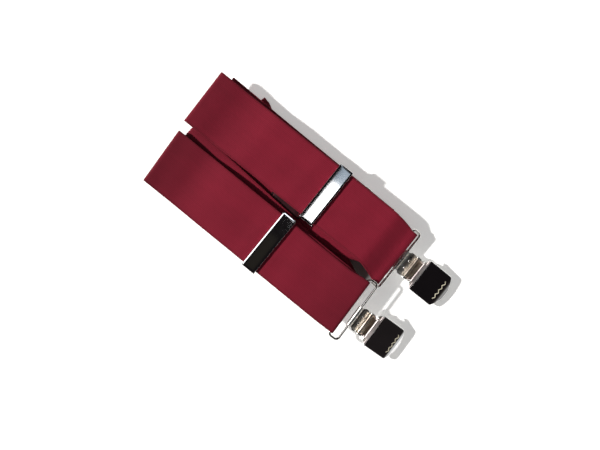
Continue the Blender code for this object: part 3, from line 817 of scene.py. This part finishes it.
def lever_root():
    """The rolled hinge with its two cam flanges."""
    top = CLIP_H
    secs = []
    for v in (-9.2, -9.05, 9.05, 9.2):
        shrink = 0.1 if abs(v) > 9.1 else 0.0
        pts = []
        cu, cw, r = 16.35, top - 1.0, 1.0 - shrink
        for i in range(13):
            a = math.radians(-60 - 210 * i / 12)
            pts.append((cu + r * math.cos(a), v, cw + r * math.sin(a)))
        pts += [(17.4, v, top - 0.12 - shrink), (19.2, v, top - 0.1 - shrink), (19.2, v, top - 0.75), (17.6, v, top - 0.85)]
        for i in range(9):
            a = math.radians(70 + 180 * i / 8)
            pts.append((cu + 0.3 * math.cos(a), v, cw + 0.3 * math.sin(a)))
        secs.append(pts)
    barrel = loft(secs)
    cam = []
    for i in range(21):
        a = math.radians(-90 - 5 * i)
        r = 2.7 - 0.035 * i
        cam.append((LEVER_PIN_U + r * math.cos(a), LEVER_PIN_W + r * math.sin(a)))
    cam += [(LEVER_PIN_U - 1.55, LEVER_PIN_W + 0.9), (LEVER_PIN_U + 3.4, LEVER_PIN_W + 0.95), (LEVER_PIN_U + 3.6, LEVER_PIN_W + 0.6), (LEVER_PIN_U + 3.6, LEVER_PIN_W - 1.3)]
    flanges = [prism(cam, v, v + 0.9, "uw") for v in (-9.2, 8.3)]
    body = joined(barrel, flanges)
    body = joined(body, [rod(LEVER_PIN_U, LEVER_PIN_W, HOLE_R, -12, 12)], "DIFFERENCE")
    return eased(body, 0.08, 1, 50)


def lever_bead():
    """The cover's rear edge, rolled over into a bead across its whole width."""
    secs = []
    for v, f in ((-13.75, 0.55), (-13.6, 0.85), (-13.2, 1.0), (13.2, 1.0), (13.6, 0.85), (13.75, 0.55)):
        secs.append([(18.62 + 0.98 * f * math.cos(math.radians(15 * i)), v, CLIP_H - 0.62 + 0.56 * f * math.sin(math.radians(15 * i))) for i in range(24)])
    return loft(secs)


def lever_inset():
    top = CLIP_H
    n, half, amp, gap = 9, 9.0, 0.75, 0.46
    line = [(40.3 + (amp if i % 2 else -amp), -half + 2 * half * i / (n - 1)) for i in range(n)]
    wave = [(u + gap, v) for u, v in line] + [(u - gap, v) for u, v in reversed(line)]
    return eased(prism(wave, top - 1.1, top - 0.02, "uv"), 0.14, 2, 50)


def clip_base():
    rows = [
        (1.3, 8.9, -1.75, -0.75),
        (2.0, 9.0, -1.68, -0.69),
        (2.6, 9.05, -1.55, -0.62),
        (3.6, 9.6, -1.25, -0.33),
        (4.5, 10.45, -1.0, -0.1),
        (5.2, 10.5, -1.0, -0.1),
        (17.6, 10.5, -1.0, -0.1),
        (18.4, 10.8, -1.0, -0.1),
        (19.6, 12.7, -1.0, -0.1),
        (20.4, 13.2, -1.0, -0.1),
        (41.0, 13.2, -1.0, -0.1),
        (42.6, 12.0, -1.0, -0.1),
        (44.0, 10.2, -1.0, -0.1),
    ]
    plate = slab(rows)
    knuckle = tube(0, 0, WIRE_R + 0.3, WIRE_R + 1.2, -9.0, 9.0)
    ear = [(8.0, -0.6), (17.4, -0.6), (17.5, 5.0)]
    ear += [(LEVER_PIN_U + 1.5 * math.cos(a), LEVER_PIN_W + 1.5 * math.sin(a)) for a in (0.3, 0.6, 0.9, 1.2, 1.57, 1.9, 2.2, 2.5, 2.8)]
    ear += [(13.4, 4.2), (12.6, 3.8), (11.6, 3.75), (10.5, 3.9), (9.4, 3.8), (8.6, 3.1)]
    ears = [prism(ear, v, v + 0.9, "uw") for v in (-10.5, 9.6)]
    body = joined(plate, [knuckle, *ears])
    holes = [rod(LEVER_PIN_U, LEVER_PIN_W, HOLE_R, -12, 12), rod(JAW_PIN_U, JAW_PIN_W, HOLE_R, -12, 12)]
    return eased(joined(body, holes, "DIFFERENCE"), 0.1, 2, 50)


def clip_studs():
    """Two domed rivets on the visible shank of the base."""
    out = []
    for v in (-3.3, 3.3):
        dome = lathe([(1.15, -0.2), (1.15, 0.02), (1.08, 0.2), (0.9, 0.38), (0.62, 0.52), (0.3, 0.6), (0.04, 0.62)])
        dome.data.transform(Matrix.Translation((6.7, v, -0.1)))
        out.append(dome)
    return joined(out[0], out[1:])


def clip_jaw():
    plate = slab(
        [
            (11.7, 9.1, 1.2, 2.0),
            (12.2, 9.2, 1.2, 2.0),
            (18.5, 9.2, 1.2, 2.0),
            (19.4, 10.2, 1.22, 2.02),
            (20.5, 12.2, 1.25, 2.05),
            (26.0, 12.2, 1.82, 2.62),
            (32.0, 12.2, 2.4, 3.2),
            (41.5, 12.2, 2.4, 3.2),
            (43.8, 11.5, 2.4, 3.2),
            (45.4, 10.4, 2.4, 3.2),
        ]
    )
    knuckle = tube(JAW_PIN_U, JAW_PIN_W, HOLE_R, 1.8, -9.2, 9.2)
    teeth, count = [(-10.4, 2.9)], 8
    for i in range(count):
        step = 20.8 / count
        teeth += [(-10.4 + step * i + 0.05, 1.6), (-10.4 + step * (i + 0.5), 0.45)]
    teeth += [(10.35, 1.6), (10.4, 2.9)]
    lip = prism(teeth, 44.6, 45.4, "vw")
    return eased(joined(plate, [knuckle, lip]), 0.09, 2, 50)


def pin(cu, cw):
    parts = [rod(cu, cw, PIN_R, -10.6, 10.6)]
    for s in (-1, 1):
        head = lathe([(1.25, 0.0), (1.25, 0.12), (1.1, 0.26), (0.75, 0.36), (0.3, 0.4)], 24)
        head.data.transform(Matrix.Rotation(math.radians(-90 * s), 4, "X"))
        head.data.transform(Matrix.Translation((cu, s * 10.52, cw)))
        parts.append(head)
    return joined(parts[0], parts[1:])


def leaf():
    top, under = [], []
    for i in range(17):
        u = mix(21.0, 31.5, i / 16)
        w = 0.22 + 0.75 * math.sin(math.pi * i / 16)
        under.append((u, w))
        top.append((u, w + 0.32))
    return eased(prism(under + top[::-1], -4.0, 4.0, "uw"), 0.06, 1, 50)


def pad(w0, w1, face):
    """A moulded pad with ribs across its gripping face."""
    rows, up = [], face > 0
    us = [34.5, 35.3]
    hs = {34.5: 10.8, 35.3: 11.6}
    sections = []
    count = 12
    for i in range(count * 2 + 1):
        u = mix(34.5, 43.3, i / (count * 2))
        h = mix(10.8, 11.6, min((u - 34.5) / 0.8, 1.0)) if u < 41 else mix(11.6, 9.6, (u - 41.0) / 2.3)
        dip = 0.22 if i % 2 and 0 < i < count * 2 else 0.0
        a, b = (w0, w1 - dip) if up else (w0 + dip, w1)
        sections.append([(u, -h, a), (u, h, a), (u, h, b), (u, -h, b)])
    return loft(sections)


def clip_set(tag):
    x, y, z, yaw, ring_tilt, clip_tilt, flip, along = CLIPS[tag]
    origin = Vector((x, y, z))
    ring_frame = flipped(origin, yaw) if flip else tilted(origin, yaw, ring_tilt)
    place(ring_shape(), f"wire_ring_{tag}", WIRE, f"ring_{tag}", ring_frame, [f"ring_{tag}"], flat=60, weighted=False)
    at = ring_frame @ Vector((RING_PITCH, along, 0))
    m = flipped(at, yaw) if flip else tilted(at, yaw, clip_tilt)
    clip, lever, jaw = f"clip_{tag}", f"lever_{tag}", f"jaw_{tag}"
    place(clip_base(), f"base_{tag}", BASE, clip, m, [f"clip_base_{tag}"])
    place(clip_studs(), f"base_studs_{tag}", STUD, clip, m)
    place(pin(LEVER_PIN_U, LEVER_PIN_W), f"lever_pin_{tag}", STEEL, clip, m, [f"clip_lever_pin_{tag}"])
    place(pin(JAW_PIN_U, JAW_PIN_W), f"jaw_pin_{tag}", STEEL, clip, m, [f"clip_jaw_pin_{tag}"])
    place(leaf(), f"leaf_spring_{tag}", STEEL, clip, m, [f"clip_spring_{tag}"])
    place(pad(0.2, 1.0, 1), f"pad_lower_{tag}", PAD, clip, m, [f"clip_pad_lower_{tag}"], weighted=False)
    place(clip_jaw(), f"jaw_plate_{tag}", JAW, jaw, m, [f"clip_jaw_{tag}"])
    place(pad(1.3, 2.1, -1), f"pad_upper_{tag}", PAD, jaw, m, [f"clip_pad_upper_{tag}"], weighted=False)
    place(clip_lever(), f"lever_cover_{tag}", CHROME, lever, m, [f"clip_lever_{tag}"], flat=40)
    place(lever_root(), f"lever_hinge_{tag}", BEAD, lever, m, flat=40)
    place(lever_bead(), f"lever_bead_{tag}", BEAD, lever, m, flat=50)
    place(lever_inset(), f"lever_zigzag_{tag}", INSET, lever, m)


# ------------------------------------------------------------------ adjusters
def rounded_rect(hu, hv, r, n=6):
    pts = []
    for cu, cv, a0 in ((hu - r, hv - r, 0), (-hu + r, hv - r, 90), (-hu + r, -hv + r, 180), (hu - r, -hv + r, 270)):
        for i in range(n + 1):
            a = math.radians(a0 + 90 * i / n)
            pts.append((cu + r * math.cos(a), cv + r * math.sin(a)))
    return pts


def adjuster_plate():
    """A pressed tray: lip on three sides, rounded corners, a shallow crown, cheeks with the pivot holes and a toothed bar."""
    hu, hv = 6.4, 27.3
    rings = [(0.0, 1.9), (0.0, 2.62), (0.06, 2.78), (0.18, 2.90), (0.95, 3.10), (1.15, 3.13), (1.5, 3.14), (3.2, 3.15)]
    secs = []
    for off, w in rings:
        r = max(1.1 - off, 0.12)
        secs.append([(u, v, w) for u, v in rounded_rect(hu - off, hv - off, r)])
    inner = [(3.2, 2.55), (1.2, 2.5), (0.75, 2.4), (0.7, 2.2), (0.7, 1.9)]
    for off, w in inner:
        r = max(1.1 - off, 0.12)
        secs.append([(u, v, w) for u, v in rounded_rect(hu - off, hv - off, r)])
    k, verts, faces = len(secs[0]), [], []
    for sec in secs:
        verts += sec
    n = len(secs)
    for i in range(n):
        if i in (7,):
            continue
        for j in range(k):
            m = (j + 1) % k
            a, b = i * k, ((i + 1) % n) * k
            faces.append((a + j, a + m, b + m, b + j))
    # top and underside centres stay flat
    faces.append(tuple(range(7 * k, 8 * k)))
    faces.append(tuple(range(9 * k - 1, 8 * k - 1, -1)))
    shell = raw(verts, faces)
    lip = prism([(-6.4, 1.25), (-6.4, 2.2), (-5.75, 2.2), (-5.75, 1.25)], -26.4, 26.4, "uw")
    gap = prism([(5.6, 1.0), (5.6, 2.44), (7.0, 2.44), (7.0, 1.0)], -26.0, 26.0, "uw")
    shell = joined(shell, [gap], "DIFFERENCE")
    cheek = [(3.9, 2.6), (4.3, 1.1), (4.75, 0.55), (5.4, 0.35), (6.05, 0.6), (6.35, 1.3), (6.35, 2.6)]
    cheeks = [prism(cheek, v, v + 0.75, "uw") for v in (-27.25, 26.5)]
    teeth, count = [], 12
    for i in range(count):
        step = 48.0 / count
        teeth += [(-24.0 + step * i + 0.02, 1.2), (-24.0 + step * (i + 0.5), 0.85)]
    bite = prism([(-24.0, 2.8), *teeth, (23.98, 1.2), (24.0, 2.8)], -1.6, -0.8, "vw")
    body = joined(shell, [lip, *cheeks, bite])
    return joined(body, [rod(PLATE_PIVOT_U, PLATE_PIVOT_W, RIVET_R + 0.2, -28, 28, 16)], "DIFFERENCE")


def adjuster_frame():
    ear = [(-5.8, -2.2), (1.9, -2.2), (2.3, -4.3), (5.5, -4.3), (6.1, -4.0), (6.3, -3.5), (6.3, 0.8)]
    ear += [(PLATE_PIVOT_U + 0.95 * math.cos(a), PLATE_PIVOT_W + 0.95 * math.sin(a)) for a in (0.0, 0.3, 0.6, 0.9, 1.2, 1.6, 1.9, 2.2, 2.5, 2.8, 3.14)]
    ear += [(3.9, 0.7), (-5.8, 0.7)]
    ears = [prism(ear, x, x + 0.8, "uw") for x in (-26.2, 25.4)]
    anvil = prism([(-5.6, -2.1), (0.4, -2.1), (0.4, -0.95), (-5.6, -0.95)], -25.8, 25.8, "uw")
    body = joined(anvil, ears)
    holes = [rod(TAIL_BAR_U, TAIL_BAR_W, HOLE_R, -28, 28), rod(PLATE_PIVOT_U, PLATE_PIVOT_W, RIVET_R + 0.2, -28, 28, 16)]
    return eased(joined(body, holes, "DIFFERENCE"), 0.08, 2, 50)


def rivet(v_head, v_tail):
    """A small pivot pin between plate and frame, with eased ends."""
    lo, hi = min(v_head, v_tail), max(v_head, v_tail)
    return eased(rod(PLATE_PIVOT_U, PLATE_PIVOT_W, RIVET_R, lo, hi, 20), 0.07, 2, 50)


def adjuster_set(side):
    s = STRAPS[side]
    yaw = math.radians(s["heading"])
    u = Vector((math.cos(yaw), math.sin(yaw), 0.0))
    v = Vector((-math.sin(yaw), math.cos(yaw), 0.0))
    m = axes_frame((*s["adjuster"], TOP_Z), u, v, Vector((0, 0, 1)))
    body, plate = f"adjuster_{side}", f"adjuster_plate_{side}"
    place(adjuster_frame(), f"slider_frame_{side}", CHROME, body, m, [f"adjuster_frame_{side}"])
    place(eased(rod(TAIL_BAR_U, TAIL_BAR_W, PIN_R, -26.9, 26.9), 0.12, 2, 50), f"slider_bar_{side}", STEEL, body, m, [f"adjuster_tail_bar_{side}"])
    place(adjuster_plate(), f"slider_plate_{side}", PLATE, plate, m, [f"adjuster_plate_{side}"], flat=45)
    for tag, head, tail in (("outer", 27.55, 25.1), ("inner", -27.55, -25.1)):
        if side == "left":
            tag = {"outer": "inner", "inner": "outer"}[tag]
        place(rivet(head, tail), f"slider_rivet_{tag}_{side}", STEEL, body, m, [f"adjuster_rivet_{tag}_{side}"])


# ------------------------------------------------------------------ stitches
def stitch_row(points, normals, length=1.9, width=0.34, height=0.16):
    """Thread stitches laid one after another through the given points (mm), as one closed-shell mesh."""
    verts, faces = [], []
    for i in range(0, len(points) - 1):
        p, q = Vector(points[i]), Vector(points[i + 1])
        n = Vector(normals[i]).normalized()
        mid, d = (p + q) / 2, (q - p)
        run = d.normalized()
        half = min(d.length * 0.42, length / 2)
        across = n.cross(run).normalized()
        base = len(verts)
        rows = [(-1.0, 0.15, -0.9), (-0.8, 0.75, 0.15), (-0.35, 1.0, 0.85), (0.35, 1.0, 0.85), (0.8, 0.75, 0.15), (1.0, 0.15, -0.9)]
        for a, wide, up in rows:
            for k in range(6):
                b = 2 * math.pi * k / 6
                verts.append(mid + run * (half * a) + across * (width / 2 * wide * math.cos(b)) + n * (height * (up + wide * 0.6 * math.sin(b))))
        for r in range(len(rows) - 1):
            for k in range(6):
                k2 = (k + 1) % 6
                faces.append((base + r * 6 + k, base + r * 6 + k2, base + (r + 1) * 6 + k2, base + (r + 1) * 6 + k))
        faces.append(tuple(base + k for k in range(5, -1, -1)))
        faces.append(tuple(base + (len(rows) - 1) * 6 + k for k in range(6)))
    return raw(verts, faces)


def strap_stitches(side):
    """Two rows across the rear end, on the doubled webbing's upper and lower faces."""
    s = STRAPS[side]
    rx, ry = s["rear"]
    parts = []
    for d in (11.5, 14.0):
        x = rx - d
        z_up = layer_z(side, 6, x) + 1.5 + STRAP_T / 2 * 0.94
        z_dn = layer_z(side, 6, x) - STRAP_T / 2 * 0.94
        ys = [ry - 23.0 + 46.0 * i / 18 for i in range(19)]
        parts.append(stitch_row([(x, y, z_up) for y in ys], [(0, 0, 1)] * 19))
        parts.append(stitch_row([(x, y, z_dn) for y in ys], [(0, 0, -1)] * 19, height=0.12))
    base = parts[0]
    bm = bmesh.new()
    for p in parts:
        bm.from_mesh(p.data)
    bm.to_mesh(base.data)
    bm.free()
    for p in parts[1:]:
        bpy.data.objects.remove(p, do_unlink=True)
    return base


PATCH_OUTLINE = [(15.5, 12.0), (10.5, 21.0), (-10.5, 21.0), (-15.5, 12.0), (-15.5, -12.0), (-10.5, -21.0), (10.5, -21.0), (15.5, -12.0)]


def patch(z0, z1, face):
    """Leather patch with turned edges and a creased border."""
    def ring(off):
        pts, n = [], len(PATCH_OUTLINE)
        for i, (x, y) in enumerate(PATCH_OUTLINE):
            f = 1 - off / math.hypot(x, y)
            pts.append((x * f - 14.4, y * f - 1.3))
        return pts

    if face > 0:
        rows = [(0.0, z0), (0.0, z1 - 0.15), (0.25, z1), (1.5, z1), (1.75, z1 - 0.14), (2.0, z1 - 0.14), (2.3, z1), (9.0, z1)]
    else:
        rows = [(0.0, z1), (0.0, z0 + 0.15), (0.25, z0), (1.5, z0), (1.75, z0 + 0.14), (2.0, z0 + 0.14), (2.3, z0), (9.0, z0)]
    secs = [[(x, y, z) for x, y in ring(off)] for off, z in rows]
    return loft(secs)


def patch_stitches(z, face):
    n = len(PATCH_OUTLINE)
    pts = []
    for i in range(n):
        x0, y0 = PATCH_OUTLINE[i]
        x1, y1 = PATCH_OUTLINE[(i + 1) % n]
        f0, f1 = 1 - 3.1 / math.hypot(x0, y0), 1 - 3.1 / math.hypot(x1, y1)
        a, b = Vector((x0 * f0 - 14.4, y0 * f0 - 1.3, z)), Vector((x1 * f1 - 14.4, y1 * f1 - 1.3, z))
        count = max(2, round((b - a).length / 2.4))
        pts += [a.lerp(b, k / count) for k in range(count)]
    pts.append(pts[0])
    return stitch_row(pts, [(0, 0, face)] * len(pts), height=0.07, width=0.4)


# ------------------------------------------------------------------ straps on the frame
def ripple(side, top_end):
    """Slight waviness of the top layer, none where the adjuster grips it or at its folds."""
    adj = STRAPS[side]["adjuster"][0]
    rng = random.Random(3 if side == "right" else 11)
    waves = [(rng.uniform(24, 60), rng.uniform(0, 6.3), rng.uniform(-0.35, 0.35)) for _ in range(4)]

    def at(i, mid, run):
        if i > top_end:
            return None
        x = mid.x
        keep = smooth((abs(x - adj) - 9.0) / 14.0) * smooth((x + 118.0) / 16.0) * smooth((64.0 - x) / 14.0)
        if keep <= 0:
            return None

        def lift(s):
            z = sum(0.13 * math.sin(2 * math.pi * x / w + p + 2.2 * k * s) for w, p, k in waves)
            z += 0.16 * abs(s) ** 3 * math.sin(x / 9.0 + (1.5 if s > 0 else 4.0))
            return Vector((0, 0, z * keep))

        return lift

    return at


for side_name in ("right", "left"):
    rib, top_end = strap_ribbon(side_name)
    rib.length()
    strap = rib.build(f"webbing_{side_name}", 1.16, 0.0, ripple(side_name, top_end))
    strap.data.materials.append(WEB)
    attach(strap, "root")
    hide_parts(f"strap_{side_name}")
    tail_rib = tail_ribbon(side_name)
    tail_len = tail_rib.length()
    tail = tail_rib.build(f"webbing_tail_{side_name}", 1.14, -tail_len)
    tail.data.materials.append(WEB)
    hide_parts(f"strap_tail_{side_name}")
    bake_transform(tail)
    sewn = strap_stitches(side_name)
    place(sewn, f"rear_stitching_{side_name}", THREAD, "root", flat=60, weighted=False)
    adjuster_set(side_name)

place(patch(11.9, 12.45, 1), "crossing_patch_upper", LEATHER, "root", None, ["cross_patch_upper"], weighted=False)
place(patch(7.62, 8.35, -1), "crossing_patch_lower", LEATHER, "root", None, ["cross_patch_lower"], weighted=False)
place(patch_stitches(12.44, 1), "crossing_stitching_upper", THREAD, "root", flat=60, weighted=False)
place(patch_stitches(7.63, -1), "crossing_stitching_lower", THREAD, "root", flat=60, weighted=False)
for tag in CLIPS:
    clip_set(tag)

# ------------------------------------------------------------------ studio
floor_me = bpy.data.meshes.new("floor")
floor_me.from_pydata([(-3, -3, 0), (3, -3, 0), (3, 3, 0), (-3, 3, 0)], [], [(0, 1, 2, 3)])
floor = bpy.data.objects.new("floor", floor_me)
bpy.context.scene.collection.objects.link(floor)
floor.data.materials.append(floor_material())

R_IMG, U_IMG = Vector((0.7805, 0.6252, 0.0)), Vector((-0.6252, 0.7805, 0.0))


def look(ob, at):
    ob.rotation_mode = "QUATERNION"
    ob.rotation_quaternion = (Vector(at) - ob.location).to_track_quat("-Z", "Y")


sun = bpy.data.lights.new("key", "SUN")
sun.energy = 4.1
sun.angle = math.radians(2.6)
sun.color = (1.0, 0.985, 0.96)
sun_ob = bpy.data.objects.new("key", sun)
bpy.context.scene.collection.objects.link(sun_ob)
el = math.radians(39.5)
sun_ob.location = Vector((-0.894 * math.cos(el), -0.449 * math.cos(el), math.sin(el))) * 2.0
look(sun_ob, (0, 0, 0))


def area(name, loc, at, sx, sy, power, colour=(1, 1, 1), glossy=True, diffuse=True):
    li = bpy.data.lights.new(name, "AREA")
    li.shape = "RECTANGLE"
    li.size, li.size_y = sx, sy
    li.energy = power
    li.color = colour
    ob = bpy.data.objects.new(name, li)
    bpy.context.scene.collection.objects.link(ob)
    ob.location = loc
    look(ob, at)
    ob.visible_camera = False
    ob.visible_glossy = glossy
    ob.visible_diffuse = diffuse
    return ob


area("fill", (-0.3, -0.1, 2.2), (0, 0, 0), 3.2, 3.2, 9.0, (0.97, 0.98, 1.0), glossy=False)


def card(name, x0, x1, y0, y1, z, radiance, colour=(1, 1, 1)):
    """A small level card above the object, seen only in the plated faces."""
    sx, sy = (x1 - x0), (y1 - y0)
    ob = area(name, ((x0 + x1) / 2, (y0 + y1) / 2, z), (0, 0, 0), sx, sy, radiance * sx * sy * math.pi, colour, diffuse=False)
    ob.rotation_mode = "XYZ"
    ob.rotation_euler = (0, 0, 0)
    return ob


card("card_white", -0.0105, 0.045, 0.005, 0.118, 1.222, 2.4)
card("card_blue", -0.0105, 0.045, 0.118, 0.172, 1.222, 0.55, (0.72, 0.86, 1.0))
card("card_olive", -0.052, -0.0115, -0.165, -0.060, 1.222, 0.012, (1.0, 0.92, 0.62))
card("card_edge_left", -0.60, -0.20, -0.115, 0.0, 0.62, 2.2)
card("card_edge_far", -0.05, -0.0105, 0.2, 0.5, 0.62, 2.0, (0.86, 0.93, 1.0))

world = bpy.data.worlds.new("room")
bpy.context.scene.world = world
world.use_nodes = True
nt = world.node_tree
bg = nt.nodes["Background"]
tc = nt.nodes.new("ShaderNodeTexCoord")
sep = nt.nodes.new("ShaderNodeSeparateXYZ")
nt.links.new(tc.outputs["Generated"], sep.inputs[0])
ramp = nt.nodes.new("ShaderNodeValToRGB")
ramp.color_ramp.elements[0].position = 0.0
ramp.color_ramp.elements[0].color = (0.85, 0.84, 0.82, 1)
ramp.color_ramp.elements[1].position = 1.0
ramp.color_ramp.elements[1].color = (0.0072, 0.0058, 0.0066, 1)
for pos, col in ((0.22, (0.62, 0.62, 0.61)), (0.38, (0.15, 0.14, 0.13)), (0.52, (0.018, 0.015, 0.015)), (0.8, (0.0085, 0.0068, 0.0078))):
    e = ramp.color_ramp.elements.new(pos)
    e.color = (*col, 1)
nt.links.new(sep.outputs[2], ramp.inputs[0])
nt.links.new(ramp.outputs[0], bg.inputs["Color"])
bg.inputs["Strength"].default_value = 1.0

cam = bpy.data.cameras.new("camera")
cam.lens = 50
cam.sensor_width = 36
cam.clip_start = 0.01
cam_ob = bpy.data.objects.new("camera", cam)
bpy.context.scene.collection.objects.link(cam_ob)
cam_ob.location = ((5.05 - CENTRE_X) * MM, (-6.31 - CENTRE_Y) * MM, 0.700)
cam_ob.rotation_mode = "QUATERNION"
cam_m = Matrix((R_IMG, U_IMG, Vector((0, 0, 1)))).transposed()
cam_ob.rotation_quaternion = cam_m.to_quaternion()
bpy.context.scene.camera = cam_ob

scene = bpy.context.scene
scene.view_settings.view_transform = "Standard"
scene.view_settings.look = "None"
